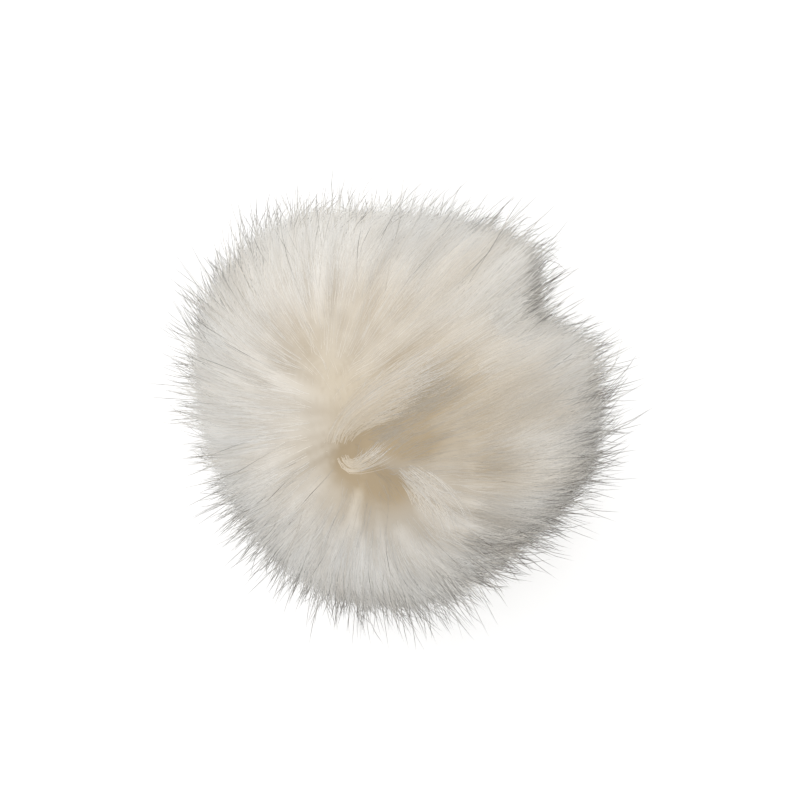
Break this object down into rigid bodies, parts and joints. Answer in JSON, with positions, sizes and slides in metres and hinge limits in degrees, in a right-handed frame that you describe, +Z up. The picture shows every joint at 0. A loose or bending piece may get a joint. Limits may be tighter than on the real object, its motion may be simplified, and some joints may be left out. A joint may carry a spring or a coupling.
{
  "type": "faux fur pom pom",
  "caption": "Round, fluffy ball of long soft pile that parts at the crown, cream with dark hair tips, lying on a small flat spot.",
  "frame": {"origin": "middle of the flat spot that the pom pom rests on", "axes": "+Z up, away from the surface it lies on; seen from above, +X is right and the parting lies to the left and front"},
  "size_m": [0.1446, 0.1414, 0.1127],
  "materials": {
    "fur": "long soft pile, cream at the roots, off-white along the hair, grey-brown at the tips"
  },
  "bodies": {
    "root": {"fur_ball": "fur"}
  },
  "joints": []
}
